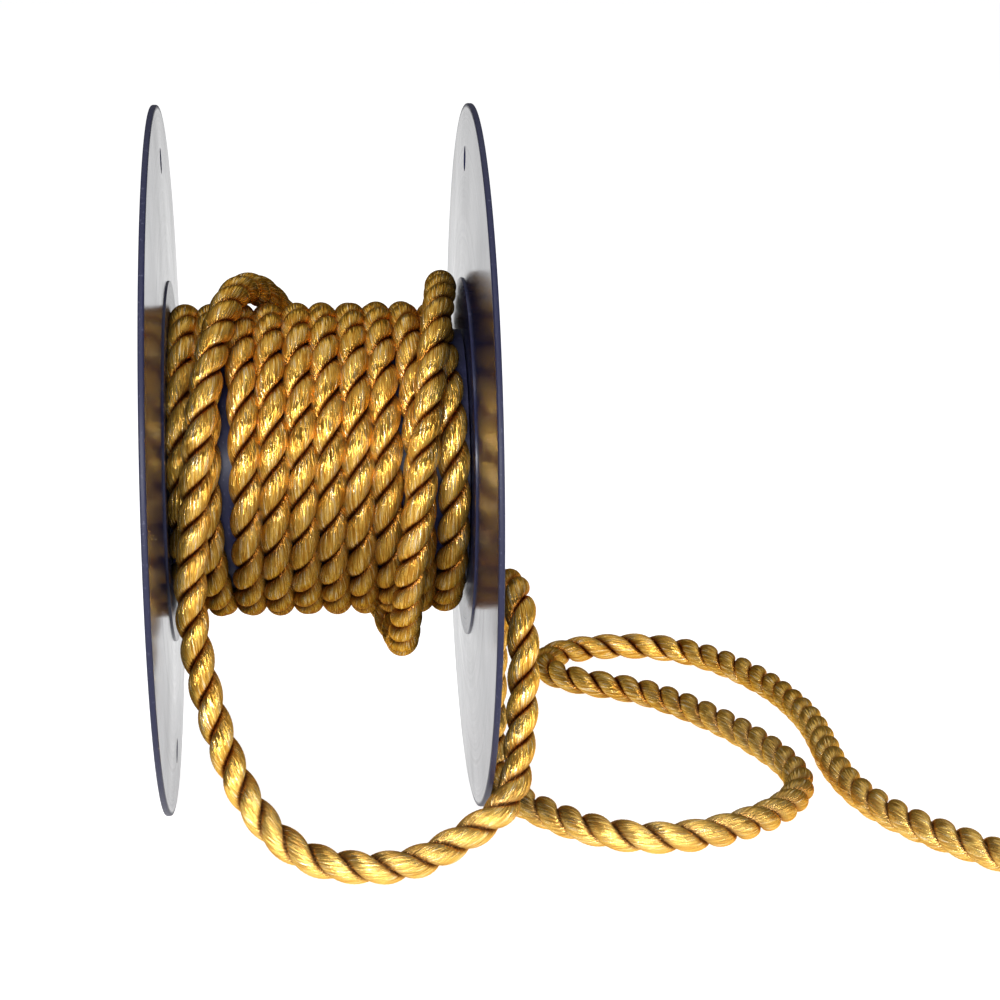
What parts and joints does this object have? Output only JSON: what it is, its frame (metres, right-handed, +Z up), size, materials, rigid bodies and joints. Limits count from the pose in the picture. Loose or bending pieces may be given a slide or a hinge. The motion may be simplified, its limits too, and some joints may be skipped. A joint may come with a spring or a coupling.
{
  "type": "twisted cord on a plastic reel",
  "caption": "Shiny twisted furnishing cord wound on a plastic reel with thin round flanges; its loose end hangs in front, stands in a bight beside the reel and runs off along the surface.",
  "frame": {"origin": "on the surface the reel stands on, midway between its flanges and straight below its axis", "axes": "+X along the reel's axis towards the side where the loose end runs off, +Y away from the viewer, +Z up"},
  "size_m": [0.2235, 0.2212, 0.1837],
  "materials": {
    "navy_plastic": "glossy moulded plastic, dark navy blue",
    "gold_cord": "shiny old-gold rayon filaments, laid in two strands"
  },
  "bodies": {
    "root": {"flange_left": "navy_plastic", "flange_right": "navy_plastic", "core": "navy_plastic", "wound_cord": "gold_cord", "loose_end": "gold_cord"}
  },
  "joints": []
}
